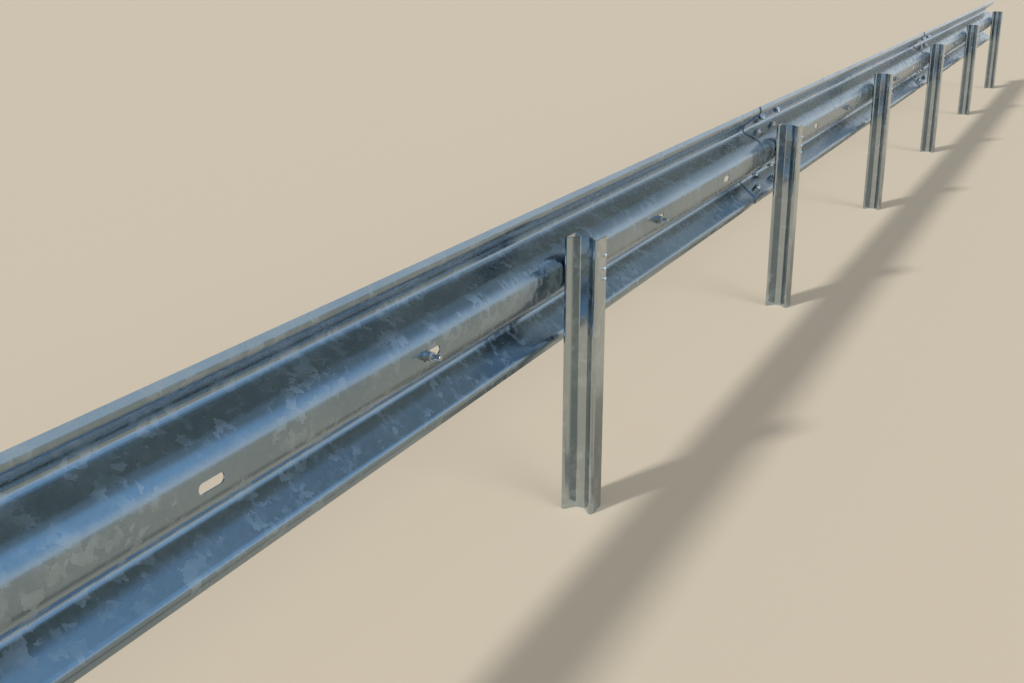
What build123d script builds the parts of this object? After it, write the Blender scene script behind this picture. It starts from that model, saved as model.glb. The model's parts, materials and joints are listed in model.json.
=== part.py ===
from build123d import *
from math import cos, radians, sin, sqrt
import os

# Highway guardrail section: W-shaped rail panels, lapped end to end, on a row of sigma posts.
# X runs along the rail, Y points to the road, Z up. Millimetres.
# The origin is in the middle of the middle post's foot.

# Row
bay = 2000  # post to post
bay_count = 6
bays_per_panel = 2

# Rail sheet: bend radii are to the middle of the sheet
rail_thickness = 3
rail_height = 357
rail_depth = 85  # back of the valley to the front of the crests
valley_flat = 20
web_angle = 66  # all sheet angles are from upright
lip_angle = 51
edge_angle = 16
valley_radius = 56
crest_radius = 19
edge_radius = 14
edge_flat = 13

# Panel ends: each panel's downstream end is sprung over the start of the next one
lap = 376
lap_clearance = 0.3
lap_spring = 160  # length over which the sheet moves out

# Rail openings: one splice row runs along the middle of each web and one along each lip
slot_length = 60
slot_width = 18
slots_per_panel = 6  # slot spacings in one panel's effective length
splice_hole = 18
splice_column = 216  # between the two columns of splice holes
lip_row_z = 138  # lip rows above and below the rail's centre

# Sigma post
post_height = 700
post_depth = 85  # across the road
post_flange = 58  # along the rail
post_thickness = 4
groove_depth = 27
groove_angle = 51.5
corner_radius = 4.5
groove_radius = 6
post_hole = 18
post_hole_edge = 29  # bolt hole to the flange's free edge
post_hole_down = 92  # bolt hole below the post's top

# Plate washer under each post bolt
plate_length = 115
plate_height = 40
plate_thickness = 5
plate_hole = 18

cut_past = 1  # how far a cutting tool stands out of what it cuts

# Places worked out from the sizes above
post_count = bay_count + 1
panel_count = bay_count // bays_per_panel
panel_pitch = bay * bays_per_panel
rail_centre_z = post_height - post_hole_down
rail_back_y = post_depth / 2
rail_middle_y = rail_back_y + rail_thickness / 2
lap_offset = rail_thickness + lap_clearance
slot_pitch = panel_pitch / slots_per_panel


def station_x(index):
    """X of a post's bolt line, counted from 0 at the upstream end."""
    return (index - bay_count / 2) * bay


def slope_length(rise, angle, radii):
    """Straight part of a slope that rises between two bends, with the sum of their radii."""
    return (rise - radii * (1 - cos(radians(angle)))) / sin(radians(angle))


def bent_line(start, heading, steps, offset):
    """A sheet's line: flats, each followed by a turn and its radius, offset to the left."""
    along = Vector(cos(radians(heading)), sin(radians(heading)))
    place = Vector(*start) + along.rotate(Axis.Z, 90) * offset
    edges = []
    for flat, turn, radius in steps:
        straight = Edge.make_line(place, place + along * flat)
        edges.append(straight)
        place = straight @ 1
        if turn:
            bend_radius = radius - offset if turn > 0 else radius + offset
            bend = JernArc(place, along, bend_radius, turn).edge()
            edges.append(bend)
            place = bend @ 1
            along = bend % 1
    return edges


def sheet_section(start, heading, steps, thickness, offset=0):
    """The closed section of a bent sheet whose middle line is offset to the left."""
    left = bent_line(start, heading, steps, offset + thickness / 2)
    right = bent_line(start, heading, steps, offset - thickness / 2)
    first_end = Edge.make_line(left[0] @ 0, right[0] @ 0)
    last_end = Edge.make_line(left[-1] @ 1, right[-1] @ 1)
    return Face(Wire(left + right + [first_end, last_end]))


def web_span():
    """Heights above the rail's centre between which a web is straight."""
    web = radians(web_angle)
    web_flat = slope_length(rail_depth - rail_thickness, web_angle, valley_radius + crest_radius)
    web_low = valley_flat / 2 + valley_radius * sin(web)
    return web_low, web_low + web_flat * cos(web)


def rail_section(offset=0):
    """The W section in its own plane: first axis to the road, second axis up."""
    web, lip, edge = radians(web_angle), radians(lip_angle), radians(edge_angle)
    depth = rail_depth - rail_thickness
    web_flat = slope_length(depth, web_angle, valley_radius + crest_radius)
    crest_up = web_span()[1] + crest_radius * sin(web)
    half_height = (rail_height - rail_thickness * sin(edge)) / 2
    edge_up = edge_radius * (sin(lip) + sin(edge)) + edge_flat * cos(edge)
    lip_flat = (half_height - crest_up - crest_radius * sin(lip) - edge_up) / cos(lip)
    lip_back = (crest_radius + edge_radius) * (1 - cos(lip)) + lip_flat * sin(lip)
    edge_out = edge_radius * (1 - cos(edge)) + edge_flat * sin(edge)
    start = (depth - lip_back + edge_out, half_height)
    upper = [
        (edge_flat, lip_angle + edge_angle, edge_radius),
        (lip_flat, -(web_angle + lip_angle), crest_radius),
        (web_flat, web_angle, valley_radius),
    ]
    lower = [
        (valley_flat, web_angle, valley_radius),
        (web_flat, -(web_angle + lip_angle), crest_radius),
        (lip_flat, lip_angle + edge_angle, edge_radius),
        (edge_flat, 0, 0),
    ]
    return sheet_section(start, -90 - edge_angle, upper + lower, rail_thickness, offset)


def rail_plane(x):
    """The rail section's plane at a place along the row."""
    return Plane(origin=(x, rail_middle_y, rail_centre_z), x_dir=(0, 1, 0), z_dir=(1, 0, 0))


def rail_stretch(x, length, offset=0):
    """A straight stretch of rail."""
    return extrude(rail_plane(x) * rail_section(offset), length, dir=(1, 0, 0))


def slot_cutter(x, length, width, depth):
    """A round-ended slot through the rail's valley, along the row."""
    outline = SlotOverall(length, width)
    plane = Plane(origin=(x, rail_back_y - cut_past, rail_centre_z), x_dir=(1, 0, 0), z_dir=(0, 1, 0))
    return extrude(plane * outline, depth)


def splice_cutter(x, row_z, tilt, side):
    """A round cutter square to the sheet, in a splice row above (side 1) or below (side -1)."""
    half_length = rail_thickness + lap_offset
    centre = Vector(x, rail_middle_y + sheet_y(row_z), rail_centre_z + side * row_z)
    along = Vector(0, cos(radians(tilt)), side * sin(radians(tilt)))
    plane = Plane(origin=centre - along * half_length, z_dir=along)
    return extrude(plane * Circle(splice_hole / 2), 2 * half_length)


def sheet_y(row_z):
    """How far the sheet's middle stands out of the valley at a height in a web or a lip."""
    web, lip = radians(web_angle), radians(lip_angle)
    depth = rail_depth - rail_thickness
    web_low, web_high = web_span()
    if row_z <= web_high:
        return valley_radius * (1 - cos(web)) + (row_z - web_low) * sin(web) / cos(web)
    lip_low = web_high + crest_radius * (sin(web) + sin(lip))
    return depth - crest_radius * (1 - cos(lip)) - (row_z - lip_low) * sin(lip) / cos(lip)


def rail_panel(index):
    """One panel. All but the last are sprung out at the downstream end, over the next panel."""
    first_post = index * bays_per_panel
    start = station_x(first_post) - lap / 2
    end = station_x(first_post + bays_per_panel) + lap / 2
    if index < panel_count - 1:
        lap_start = end - lap
        spring_start = lap_start - lap_spring
        sections = [
            rail_plane(spring_start) * rail_section(),
            rail_plane(lap_start) * rail_section(lap_offset),
        ]
        panel = rail_stretch(start, spring_start - start)
        panel += loft(sections, ruled=True)
        panel += rail_stretch(lap_start, lap, lap_offset)
    else:
        panel = rail_stretch(start, end - start)
    slot_depth = rail_thickness + lap_offset + 2 * cut_past
    for step in range(slots_per_panel + 1):
        x = station_x(first_post) + step * slot_pitch
        panel -= slot_cutter(x, slot_length, slot_width, slot_depth)
    web_row_z = sum(web_span()) / 2
    for post in (first_post, first_post + bays_per_panel):
        for column in (-splice_column / 2, splice_column / 2):
            for side in (-1, 1):
                x = station_x(post) + column
                panel -= splice_cutter(x, web_row_z, -web_angle, side)
                panel -= splice_cutter(x, lip_row_z, lip_angle, side)
    return panel


def post_section():
    """The sigma section in plan, with its open side downstream."""
    angle = radians(groove_angle)
    half_depth = (post_depth - post_thickness) / 2
    flange_flat = post_flange - post_thickness / 2 - corner_radius
    slope = slope_length(groove_depth, groove_angle, corner_radius + groove_radius)
    slope_across = corner_radius + (corner_radius + groove_radius) * sin(angle) + slope * cos(angle)
    groove_flat = 2 * (half_depth - slope_across)
    steps = [
        (flange_flat, 90 + groove_angle, corner_radius),
        (slope, -groove_angle, groove_radius),
        (groove_flat, -groove_angle, groove_radius),
        (slope, 90 + groove_angle, corner_radius),
        (flange_flat, 0, 0),
    ]
    return sheet_section((post_hole_edge, half_depth), 180, steps, post_thickness)


def sigma_post(index):
    """A post from the ground up, with its bolt hole in the road-side flange."""
    post = extrude(post_section(), post_height, dir=(0, 0, 1))
    plane = Plane(origin=(0, post_depth / 2 - post_thickness - cut_past, rail_centre_z), z_dir=(0, 1, 0))
    post -= extrude(plane * Circle(post_hole / 2), post_thickness + 2 * cut_past)
    return Pos(station_x(index), 0, 0) * post


def plate_rise(bend_radius):
    """How far the bends beside the valley's flat hold a plate off it, by the plate's long edges."""
    past_flat = max(plate_height - valley_flat, 0) / 2
    return bend_radius - sqrt(bend_radius**2 - past_flat**2)


def plate_washer(index):
    """The rectangular washer under a post bolt's head, across the rail's valley."""
    at_lap = index % bays_per_panel == 0 and 0 < index < bay_count
    sheet_out = lap_offset if at_lap else 0
    bend_radius = valley_radius - rail_thickness / 2 - sheet_out
    seat_y = rail_back_y + rail_thickness + sheet_out + plate_rise(bend_radius)
    plane = Plane(origin=(station_x(index), seat_y, rail_centre_z), x_dir=(1, 0, 0), z_dir=(0, 1, 0))
    outline = Rectangle(plate_length, plate_height) - Circle(plate_hole / 2)
    return extrude(plane * outline, plate_thickness)


os.makedirs("parts", exist_ok=True)
for number in range(panel_count):
    export_step(rail_panel(number), f"parts/rail_panel_{number + 1}.step")
for number in range(post_count):
    export_step(sigma_post(number), f"parts/post_{number + 1}.step")
    export_step(plate_washer(number), f"parts/plate_washer_{number + 1}.step")
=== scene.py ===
# %% [markdown]
# # A highway guardrail section
#
# A W-shaped steel rail stands on a row of sigma posts, all hot-dip galvanised.
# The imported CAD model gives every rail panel, post and plate washer its shape and place.
# This lesson adds what the CAD model leaves out: the bolts, the posts' studs and the zinc itself.

import json

import bpy
import numpy as np
from mathutils import Matrix, Vector


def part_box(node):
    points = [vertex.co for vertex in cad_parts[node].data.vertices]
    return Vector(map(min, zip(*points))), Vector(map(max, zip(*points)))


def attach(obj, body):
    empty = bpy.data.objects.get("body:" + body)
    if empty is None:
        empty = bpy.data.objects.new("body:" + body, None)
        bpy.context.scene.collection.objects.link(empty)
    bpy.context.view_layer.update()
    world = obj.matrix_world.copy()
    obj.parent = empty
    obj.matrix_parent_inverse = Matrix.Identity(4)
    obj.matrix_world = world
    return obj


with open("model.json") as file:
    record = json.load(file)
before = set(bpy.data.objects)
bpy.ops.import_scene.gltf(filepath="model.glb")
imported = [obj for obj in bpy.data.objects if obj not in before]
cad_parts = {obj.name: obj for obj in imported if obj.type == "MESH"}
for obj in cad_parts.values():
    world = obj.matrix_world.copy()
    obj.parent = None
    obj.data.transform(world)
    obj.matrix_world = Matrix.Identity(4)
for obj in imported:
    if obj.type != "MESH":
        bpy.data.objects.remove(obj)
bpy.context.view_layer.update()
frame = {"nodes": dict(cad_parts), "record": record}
record = frame["record"]
print("nodes:", len(frame["nodes"]))

# %% [markdown]
# ## The camera
#
# The camera stands behind the rail, on the field side, above the top of the posts.
# Its place was worked out from the lines of the rail and the posts, and not by eye, because
# a row that runs away from the camera shows every error in it.
# Heading and pitch are turned into a direction, and Blender's camera looks along its own -Z.
# The view transform is the plain one, so that a colour comes out as it was written.

# %% Place the camera
image_width, sensor_width = 1024, 36
camera_place = Vector((-6.651, -1.0775, 1.375))
heading, pitch = np.radians(25.59), np.radians(18.12)
focal_pixels = 1243.5

looking = Vector((np.cos(heading) * np.cos(pitch), np.sin(heading) * np.cos(pitch), -np.sin(pitch)))
camera_data = bpy.data.cameras.new("camera")
camera_data.sensor_width = sensor_width
camera_data.lens = sensor_width * focal_pixels / image_width
camera_data.clip_end = 300  # metres, past the far rim of the floor
camera = bpy.data.objects.new("camera", camera_data)
camera.location = camera_place
camera.rotation_euler = looking.to_track_quat("-Z", "Y").to_euler()
bpy.context.scene.collection.objects.link(camera)
bpy.context.scene.camera = camera
bpy.context.scene.view_settings.view_transform = "Standard"
print("lens in mm:", round(camera_data.lens, 2))

# %% [markdown]
# ## The floor
#
# The guardrail is shown on a plain, pale floor of a warm beige. It is a wide disc, because the
# corners of a square would show against the backdrop from low angles.
# Galvanised steel is a mirror, only a little blurred: it shows what is round it, so the
# surroundings matter as much as its own colour. Its faces that look up mirror the blue and
# grey backdrop, and those that look down or to the side mirror the warm floor.

# %% Lay the floor
def plain_material(name, colour, roughness):
    """One colour all over, for things that aren't part of the guardrail."""
    material = bpy.data.materials.new(name)
    material.use_nodes = True
    shader = material.node_tree.nodes["Principled BSDF"]
    shader.inputs["Base Color"].default_value = (*colour, 1)
    shader.inputs["Roughness"].default_value = roughness
    shader.inputs["Specular IOR Level"].default_value = 0.2
    return material


floor_radius, floor_sides = 90, 96
turn = np.arange(floor_sides) * 2 * np.pi / floor_sides
rim = floor_radius * np.stack([np.cos(turn), np.sin(turn), np.zeros(floor_sides)], 1)
floor_mesh = bpy.data.meshes.new("floor")
floor_mesh.from_pydata(rim.tolist(), [], [list(range(floor_sides))])
floor_mesh.materials.append(plain_material("pale_floor", (0.66, 0.56, 0.42), 0.9))
floor = bpy.data.objects.new("floor", floor_mesh)
bpy.context.scene.collection.objects.link(floor)
print("floor across in m:", 2 * floor_radius)

# %% [markdown]
# ## The light
#
# The key light comes from the road side, 39 degrees up, from behind the camera's left
# shoulder. A much softer and weaker one on the field side keeps the shaded back readable.
# Area lamps would light the near end of the row more than the far end. Both lights are sun
# lamps instead, because those light twelve metres of rail evenly.

# %% Set the lamps
def soft_lamp(name, towards, strength, spread):
    """A light from a direction, even over the whole row. Spread is how wide it looks from
    the object, in degrees, which is how soft its shadows are."""
    data = bpy.data.lights.new(name, "SUN")
    data.energy = strength
    data.angle = np.radians(spread)
    lamp = bpy.data.objects.new(name, data)
    lamp.rotation_euler = (-Vector(towards)).to_track_quat("-Z", "Y").to_euler()
    bpy.context.scene.collection.objects.link(lamp)
    print(name, "light: strength", strength, "spread in degrees", spread)


soft_lamp("key", (-0.715, 0.303, 0.629), 2.2, 6)
soft_lamp("fill", (-0.35, -0.80, 0.55), 0.8, 38)

# %% [markdown]
# ## Helpers for node trees
#
# A shader is a tree of small steps, and each step written out takes four or five lines.
# The three that come back in the backdrop and in the zinc are functions, so that the trees
# can be read as sums: a value is stepped, weighed and blended into a colour.

# %% Step, weigh and blend
def stepped(tree, value, low, high):
    """A smooth step: 0 where the value is below low, and 1 where it is above high."""
    step = tree.nodes.new("ShaderNodeMapRange")
    step.interpolation_type = "SMOOTHSTEP"
    step.inputs["From Min"].default_value = low
    step.inputs["From Max"].default_value = high
    tree.links.new(value, step.inputs["Value"])
    return step.outputs["Result"]


def weighed(tree, value, weight, base):
    """value * weight + base, where each of the last two is a number or another value."""
    step = tree.nodes.new("ShaderNodeMath")
    step.operation = "MULTIPLY_ADD"
    for socket, given in zip(step.inputs, (value, weight, base)):
        if isinstance(given, float):
            socket.default_value = given
        else:
            tree.links.new(given, socket)
    return step.outputs["Value"]


def blended(tree, factor, first, second):
    """A colour that goes from a first to a second as the factor goes from 0 to 1. Each of
    the two is red, green and blue, or another node's colour."""
    blend = tree.nodes.new("ShaderNodeMix")
    blend.data_type = "RGBA"
    tree.links.new(factor, blend.inputs["Factor"])
    for socket, given in ((blend.inputs["A"], first), (blend.inputs["B"], second)):
        if isinstance(given, tuple):
            socket.default_value = (*given, 1)
        else:
            tree.links.new(given, socket)
    return blend.outputs["Result"]


# %% [markdown]
# ## The backdrop
#
# The world is made twice. As light it is soft and weak. Where the camera or a reflection
# looks straight at it, it is a backdrop: nearly white at the horizon and deeper in tone
# overhead. That change of tone is what makes a bend in glossy steel look round.
# Overhead it is a bright blue upstream and on the field side, and a darker grey downstream
# and on the road side, as if a screen had been set up there. The near end of the rail mirrors
# the bright part, and its tone deepens as the row runs away.
# In a world the Generated coordinate is the direction in which a ray goes, so its Z says how
# far up that ray looks, its X how far downstream and its Y how far to the road side.

# %% Mix the light and the backdrop
world = bpy.data.worlds.new("studio")
bpy.context.scene.world = world
world.use_nodes = True
tree = world.node_tree
tree.nodes.clear()
lighting = tree.nodes.new("ShaderNodeBackground")
lighting.inputs["Color"].default_value = (0.80, 0.86, 0.95, 1)
lighting.inputs["Strength"].default_value = 0.45
direction = tree.nodes.new("ShaderNodeSeparateXYZ")
tree.links.new(tree.nodes.new("ShaderNodeTexCoord").outputs["Generated"], direction.inputs["Vector"])
horizon_white = (0.92, 0.96, 1.0)
field_blue, screen_grey = (0.44, 0.66, 0.92), (0.25, 0.31, 0.35)
# X times 0.6 plus Y is one value that grows downstream and, faster, to the road side.
to_screen = weighed(tree, direction.outputs["X"], 0.6, direction.outputs["Y"])
above = blended(tree, stepped(tree, to_screen, -0.10, 0.18), field_blue, screen_grey)
overhead = stepped(tree, direction.outputs["Z"], 0.0, 0.45)
seen = tree.nodes.new("ShaderNodeBackground")
tree.links.new(blended(tree, overhead, horizon_white, above), seen.inputs["Color"])
print("world light:", lighting.inputs["Strength"].default_value)

# %% [markdown]
# Light Path tells which kind of ray asks for the world's colour. A camera ray, one that
# glossy steel mirrors and one that goes through something clear get the backdrop, and every
# other ray gets the soft light. So the backdrop shows in the picture and in the steel, and
# the matt floor isn't lit by it.

# %% Show the backdrop only where it is looked at
rays = tree.nodes.new("ShaderNodeLightPath")
looked_at = rays.outputs["Is Camera Ray"]
for kind in ("Is Glossy Ray", "Is Transmission Ray"):
    either = tree.nodes.new("ShaderNodeMath")
    either.operation = "MAXIMUM"
    tree.links.new(looked_at, either.inputs[0])
    tree.links.new(rays.outputs[kind], either.inputs[1])
    looked_at = either.outputs["Value"]
chosen = tree.nodes.new("ShaderNodeMixShader")
tree.links.new(looked_at, chosen.inputs["Fac"])
tree.links.new(lighting.outputs["Background"], chosen.inputs[1])
tree.links.new(seen.outputs["Background"], chosen.inputs[2])
output = tree.nodes.new("ShaderNodeOutputWorld")
tree.links.new(chosen.outputs["Shader"], output.inputs["Surface"])
print("world nodes:", len(tree.nodes))

# %% [markdown]
# ## Galvanised steel
#
# This zinc is new: smooth, glossy and a little blue; on the rail that blue is partly a painted
# reflection of blue sky. Molten zinc freezes into flat crystals, the spangle. Here most of them
# can just be seen, and some larger flakes, one or two centimetres wide, stand out because they
# are duller and paler.
# A picture of zinc would repeat along twelve metres of rail, so the pattern is computed.
# A Voronoi texture gives every point the number of its nearest seed, which makes cells.

# %% Read textures
def add_texture(tree, kind, place, **values):
    """A texture node that is read at a place, with its named inputs set."""
    texture = tree.nodes.new(kind)
    tree.links.new(place, texture.inputs["Vector"])
    for name, value in values.items():
        texture.inputs[name].default_value = value
    return texture


def cell_number(tree, place, width):
    """A random number from 0 to 1 for each Voronoi cell of a width in metres."""
    cells = add_texture(tree, "ShaderNodeTexVoronoi", place, Scale=1 / width)
    split = tree.nodes.new("ShaderNodeSeparateColor")
    tree.links.new(cells.outputs["Color"], split.inputs["Color"])
    return split.outputs["Red"]


# %% [markdown]
# The flakes are large cells, with their straight borders frayed by first pushing the
# coordinates about with a noise. A second noise lets them show in some places only.
# A flake changes the roughness as well as the colour, as on real zinc: it looks pale where
# the steel mirrors something dark, and dull where the steel mirrors a light.
# A very low, wide bump keeps the mirrored lines from being perfectly straight.

# %% Make zinc
def zinc(name, dark, pale, roughness, dullness, flake, crystal):
    """Glossy zinc between a dark and a pale tone. Flake and crystal are the widths of the
    flakes and the crystals in metres, and dullness is how much rougher a flake is."""
    material = bpy.data.materials.new(name)
    material.use_nodes = True
    tree = material.node_tree
    shader = tree.nodes["Principled BSDF"]
    shader.inputs["Metallic"].default_value = 1.0
    place = tree.nodes.new("ShaderNodeTexCoord").outputs["Object"]

    # Flakes: large cells, pushed out of shape by up to nine tenths of their width. A cell
    # whose number is under 0.35 isn't a flake, and a low drift hides the flakes that it meets.
    fray = add_texture(tree, "ShaderNodeTexNoise", place, Scale=1.6 / flake, Detail=3.0)
    pushed = tree.nodes.new("ShaderNodeVectorMath")
    pushed.operation = "MULTIPLY_ADD"
    pushed.inputs[1].default_value = (0.9 * flake,) * 3
    tree.links.new(fray.outputs["Color"], pushed.inputs[0])
    tree.links.new(place, pushed.inputs[2])
    flakes = stepped(tree, cell_number(tree, pushed.outputs["Vector"], flake), 0.35, 0.95)
    drift = add_texture(tree, "ShaderNodeTexNoise", place, Scale=0.2 / flake, Detail=4.0)
    flakes = weighed(tree, flakes, stepped(tree, drift.outputs["Fac"], 0.40, 0.58), 0.0)
    crystals = cell_number(tree, place, crystal)
    haze = add_texture(tree, "ShaderNodeTexNoise", place, Scale=3.5, Detail=3.0).outputs["Fac"]

    # Tone and roughness: a little from the crystals, more from the flakes and from a haze
    # some 30 cm wide. The shift of -0.15 keeps the sum between 0 and 1 nearly everywhere.
    tone = weighed(tree, crystals, 0.12, -0.15)
    tone = weighed(tree, flakes, 0.50, tone)
    tone = weighed(tree, haze, 0.8, tone)
    tree.links.new(blended(tree, tone, dark, pale), shader.inputs["Base Color"])
    rough = weighed(tree, crystals, 0.04, roughness)
    tree.links.new(weighed(tree, flakes, dullness, rough), shader.inputs["Roughness"])

    # Relief: waves 20 cm long and up to a millimetre high, under a very fine grain.
    wave = add_texture(tree, "ShaderNodeTexNoise", place, Scale=5.0, Detail=1.0).outputs["Fac"]
    grain = add_texture(tree, "ShaderNodeTexNoise", place, Scale=350.0, Detail=2.0).outputs["Fac"]
    relief = tree.nodes.new("ShaderNodeBump")
    relief.inputs["Strength"].default_value = 1.0
    relief.inputs["Distance"].default_value = 0.001
    tree.links.new(weighed(tree, grain, 0.002, wave), relief.inputs["Height"])
    tree.links.new(relief.outputs["Normal"], shader.inputs["Normal"])
    return material


# %% [markdown]
# Four finishes come from this one function. The rail's sheet is the darkest and bluest, and
# its flakes are the dullest. Its dark blue tone is partly painted shade and a painted reflection
# of blue sky. The thicker posts are paler and glossier, and their paler tone is partly painted
# sunlight. The bolts' crystals are small, because their coat is thin: most of the hot zinc is
# spun off them. The studs are taken to be plated, and their bright, nearly even tone is a
# painted glint.

# %% Mix the four finishes
finishes = {
    # The rail's dark blue tone is partly painted shade and a painted reflection of blue sky.
    "rail_sheet": zinc("rail_zinc_painted_shade", dark=(0.19, 0.27, 0.34), pale=(0.38, 0.46, 0.52),
                       roughness=0.17, dullness=0.22, flake=0.016, crystal=0.005),
    # The posts' paler tone is partly painted sunlight on their faces.
    "post_steel": zinc("post_zinc_painted_sunlight", dark=(0.36, 0.42, 0.46), pale=(0.54, 0.60, 0.63),
                       roughness=0.10, dullness=0.12, flake=0.018, crystal=0.005),
    "fastener_steel": zinc("fastener_zinc", dark=(0.38, 0.41, 0.44), pale=(0.54, 0.57, 0.60),
                           roughness=0.16, dullness=0.10, flake=0.012, crystal=0.002),
    # The studs' bright, nearly even tone is a painted glint.
    "painted_glint_plate": zinc("painted_glint_plate", dark=(0.78, 0.80, 0.82), pale=(0.86, 0.87, 0.88),
                         roughness=0.30, dullness=0.05, flake=0.004, crystal=0.001),
}
print("finishes:", ", ".join(finishes))

# %% [markdown]
# ## Dress the CAD pieces
#
# The rails, posts and plate washers keep their CAD shape. Each gets the zinc of its material
# slot, which is the record's name for what a piece is made of.

# %% Give each CAD node its zinc
slot_of = {part["node"]: part["material_slot"] for part in record["subparts"]}
for name, node in frame["nodes"].items():
    node.data.materials.clear()
    node.data.materials.append(finishes[slot_of[name]])
for slot in sorted(set(slot_of.values())):
    print(slot, "on", sum(given == slot for given in slot_of.values()), "nodes")

# %% [markdown]
# ## Turned and six-sided pieces
#
# A bolt head, a round washer and a shank are all turned: a profile of radius and height
# swept round an axis. A nut is the same idea with a radius that depends on the angle, so its
# outline is a hexagon instead of a circle. Both come from one function, a grid of
# angle by profile step, which numpy fills as whole arrays.
# The grid is closed on itself round the axis, and a flat face closes each end.

# %% Sweep a profile round an axis
def swept(profile, sides, corners=0):
    """Points of a profile of (radius, height) pairs turned round +Z, and the faces between.
    A point is (r k cos a, r k sin a, h) at angle a. For a round piece k is 1. For a hexagon
    k = cos(pi / 6) / cos(a mod pi / 3 - pi / 6), the distance to a side of a six-sided shape."""
    profile = np.asarray(profile, float)
    angles = np.arange(sides) * 2 * np.pi / sides
    reach = np.ones(sides)
    if corners:
        step = 2 * np.pi / corners
        reach = np.cos(step / 2) / np.cos(angles % step - step / 2)
    radius = profile[:, :1] * reach
    points = np.stack([radius * np.cos(angles), radius * np.sin(angles),
                       np.repeat(profile[:, 1:], sides, 1)], 2).reshape(-1, 3)
    row, column = np.meshgrid(np.arange(len(profile) - 1), np.arange(sides), indexing="ij")
    beside = (column + 1) % sides
    quads = np.stack([row * sides + column, row * sides + beside,
                      (row + 1) * sides + beside, (row + 1) * sides + column], 2).reshape(-1, 4)
    faces = quads.tolist()
    faces.append(list(range(sides))[::-1])
    faces.append([(len(profile) - 1) * sides + i for i in range(sides)])
    return points, faces


# %% [markdown]
# A shape is swept upright at the origin. One helper turns its points to the way that a bolt
# looks and moves them to their place. Another joins several shapes into one object, which
# stays at the origin itself, as a CAD node does. Its faces are shaded smooth, apart from the
# edges that turn by more than 32 degrees, because those are crisp on the real pieces.

# %% Turn shapes and join them
crisp_from = np.radians(32)


def turned_to(points, place, direction, spin=0.0):
    """The points with their +Z turned to a direction and their origin moved to a place."""
    turn = Vector(direction).to_track_quat("Z", "Y").to_matrix()
    turn = np.array(turn @ Matrix.Rotation(spin, 3, "Z"))
    return points @ turn.T + np.array(place)


def piece(name, shapes, slot, finish=None):
    """One object made of several (points, faces) shapes, at the origin, in a slot's zinc or
    in another finish."""
    points, faces, start = [], [], 0
    for shape_points, shape_faces in shapes:
        points.append(shape_points)
        faces += [[start + i for i in face] for face in shape_faces]
        start += len(shape_points)
    mesh = bpy.data.meshes.new(name)
    mesh.from_pydata(np.concatenate(points).tolist(), [], faces)
    mesh.materials.append(finishes[finish or slot])
    mesh.shade_smooth()
    mesh.set_sharp_from_angle(angle=crisp_from)
    made = bpy.data.objects.new(name, mesh)
    bpy.context.scene.collection.objects.link(made)
    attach(made, "root")


# %% [markdown]
# ## Bolts
#
# On the road side a guardrail's bolts have low round heads, with no edge that stands out.
# Their nuts are on the field side, which this camera sees.
# The laps and the posts have M16 bolts, whose nuts are 24 mm across their flats. Those at the
# laps have no washer. The bolts in the slots are thinner M12 ones, with a nut 19 mm across,
# a washer 24 mm across and a long bare end.
# The three kinds differ in size alone, so a small table and one function make them all.

# %% List the sizes of the bolts
# In metres. Shank, head and washer are radii, flats is the width of the nut and nut its
# height, and end is how far the shank goes on past the nut. Without a washer it is 0.
bolts = {
    "splice": {"shank": 0.008, "head": 0.017, "flats": 0.024, "nut": 0.013,
               "washer": 0, "end": 0.005},
    "post": {"shank": 0.008, "head": 0.017, "flats": 0.024, "nut": 0.013,
             "washer": 0.015, "end": 0.010},
    "slot": {"shank": 0.006, "head": 0.015, "flats": 0.019, "nut": 0.0108,
             "washer": 0.012, "end": 0.0165},
}
washer_thickness = 0.003
head_side, head_rise = 0.13, 0.40  # heights as shares of the head's radius
nut_free_end, nut_seat = 0.93, 0.96  # widths as shares of the nut's own
chamfer = 0.0012
print("kinds of bolt:", ", ".join(bolts))

# %% [markdown]
# A bolt is a domed head, a washer where it has one, a nut that narrows at both ends, and a
# shank from the head to past the nut. Each is a profile along the bolt's own axis, with
# heights that count from the bolt's place in the sheet, so the four meet by themselves.

# %% Make one bolt
pole = 1e-4  # a dome stops this near its axis, where a small flat face closes it


def domed(radius, base, side, rise, steps):
    """Profile of a round head: a straight side, then a quarter circle flattened to a rise.
    A point of the dome is (radius cos a, base + side + rise sin a), for a from 0 to pi / 2."""
    around = np.linspace(0, np.pi / 2, steps)
    dome = np.stack([radius * np.cos(around) + pole, base + side + rise * np.sin(around)], 1)
    return np.concatenate([[(radius, base)], dome])


def bolt(kind, place, direction, front, back, spin=0.0):
    """A bolt through a sheet. The direction points to the head, front is how far the sheet's
    head side lies along it from the place, and back how far the nut side does. Spin turns the
    bolt on its own axis, so that the nuts don't all stand alike."""
    size = bolts[kind]
    head = domed(size["head"], front, head_side * size["head"], head_rise * size["head"], 7)
    shapes = [swept(head, sides=32)]
    seat = back
    if size["washer"]:
        seat = back - washer_thickness
        shapes.append(swept([(size["washer"], seat), (size["washer"], back)], sides=32))
    corner = size["flats"] / 2 / np.cos(np.pi / 6)
    nut_end = seat - size["nut"]
    nut = [(corner * nut_free_end, nut_end), (corner, nut_end + chamfer),
           (corner, seat - chamfer / 2), (corner * nut_seat, seat)]
    tip = nut_end - size["end"]
    shank = [(size["shank"] - chamfer, tip), (size["shank"], tip + chamfer), (size["shank"], front)]
    shapes += [swept(nut, sides=36, corners=6), swept(shank, sides=24)]
    return [(turned_to(points, place, direction, spin), faces) for points, faces in shapes]


# %% [markdown]
# ## Where the bolts go
#
# The record keeps the splice holes of the open end at the upstream post, with their axes.
# Every lap has the same eight holes, so their places are moved along the row to each lap.
# At a lap the head sits on the outer of two sheets.

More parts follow.
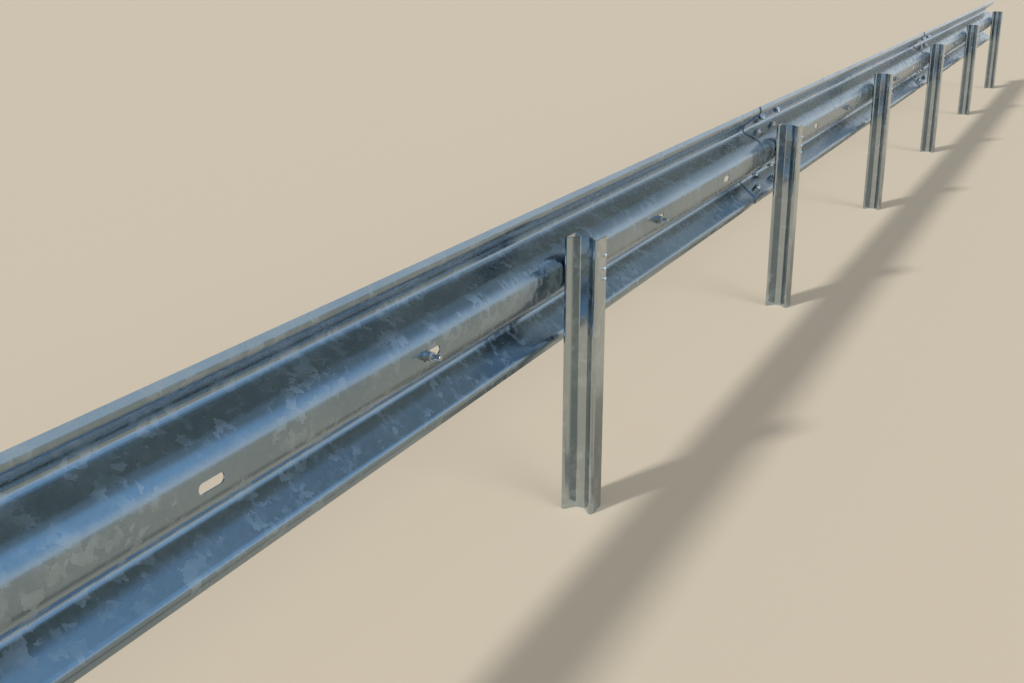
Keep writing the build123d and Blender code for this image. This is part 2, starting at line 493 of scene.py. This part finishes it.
# %% Bolt the laps
thickness, lap_offset = 0.003, 0.0033  # the rail's sheet, and how far a lap moves it out
lap_posts = (3, 5)
mounts = {mount["name"]: mount for mount in record["mounts"]}
splice = [mount for name, mount in mounts.items() if name.startswith("splice_")]
first_post = mounts["foot_1"]["pos_m"][0]
draw = np.random.default_rng(4)
for number, post in enumerate(lap_posts, 1):
    shift = mounts[f"foot_{post}"]["pos_m"][0] - first_post
    shapes = []
    for mount in splice:
        place = np.array(mount["pos_m"]) + (shift, 0, 0)
        shapes += bolt("splice", place, mount["axis"], thickness / 2 + lap_offset, -thickness / 2,
                       draw.uniform(0, np.pi))
    piece(f"splice_bolts_{number}", shapes, "fastener_steel")
print("splice bolts:", len(lap_posts) * len(splice))

# %% [markdown]
# Each post has one bolt, through the rail's valley and the post's flange. Its head lies on
# the plate washer, and its nut is inside the post's open channel.
# The rail's back lies on the posts, and its slots are on its centre line, so the frame gives
# both the depth and the height of these bolts.

# %% Bolt the posts
rail_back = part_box("post_4")[1].y
centre_z = mounts["free_slots_1"]["pos_m"][2]
post_thickness = 0.004
post_numbers = range(1, 1 + sum(name.startswith("foot_") for name in mounts))
for number in post_numbers:
    place = (mounts[f"foot_{number}"]["pos_m"][0], rail_back, centre_z)
    plate_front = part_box(f"plate_washer_{number}")[1].y - rail_back
    shapes = bolt("post", place, (0, 1, 0), plate_front, -post_thickness, draw.uniform(0, np.pi))
    piece(f"post_bolt_{number}", shapes, "fastener_steel")
print("post bolts:", len(post_numbers), "at height in m:", centre_z)

# %% [markdown]
# Between the posts, at a third and two thirds of each panel, a bolt goes through a slot. It
# lies close to the slot's upstream end, so the other end of the slot stays open.
# The empty slots of the record are two slot spacings from the panel's middle, on either side,
# so a quarter of the distance between them is one spacing.

# %% Bolt the slots
free_slots = mounts["free_slots_1"]["dims"]
spacing = free_slots["spacing_x_mm"] / 1000 / 4
slot_length = free_slots["slot_length_mm"] / 1000
play = 0.002  # between the bolt and its slot's end
to_slot_end = slot_length / 2 - bolts["slot"]["shank"] - play
panel_numbers = range(1, 1 + sum(name.startswith("free_slots_") for name in mounts))
for number in panel_numbers:
    middle = mounts[f"free_slots_{number}"]["pos_m"][0]
    for side, name in ((-1, "left"), (1, "right")):
        place = (middle + side * spacing - to_slot_end, rail_back, centre_z)
        shapes = bolt("slot", place, (0, 1, 0), thickness, 0.0, draw.uniform(0, np.pi))
        piece(f"slot_bolt_{number}_{name}", shapes, "fastener_steel")
print("slot bolts:", 2 * len(panel_numbers), "slot spacing in m:", round(spacing, 4))

# %% [markdown]
# ## Studs
#
# Each post has three small studs near its top, on the flange that looks to the field
# and close to that flange's free edge. Their brightness is a painted glint. A stud is a round
# button 9 mm across with a domed top, so the bolt heads' profile gives its shape as well.

# %% Set the studs
stud_radius, stud_side, stud_rise = 0.0045, 0.0025, 0.0025
# Metres along the row from the post's bolt, and metres below the post's top.
stud_places = ((0.018, 0.044), (0.014, 0.076), (0.017, 0.1015))
button = domed(stud_radius, 0, stud_side, stud_rise, 6)
for number in post_numbers:
    low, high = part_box(f"post_{number}")
    post_x = mounts[f"foot_{number}"]["pos_m"][0]
    points, faces = swept(button, sides=20)
    shapes = [(turned_to(points, (post_x + along, low.y, high.z - down), (0, -1, 0)), faces)
              for along, down in stud_places]
    piece(f"post_studs_{number}", shapes, "fastener_steel", "painted_glint_plate")
print("studs:", len(post_numbers) * len(stud_places))
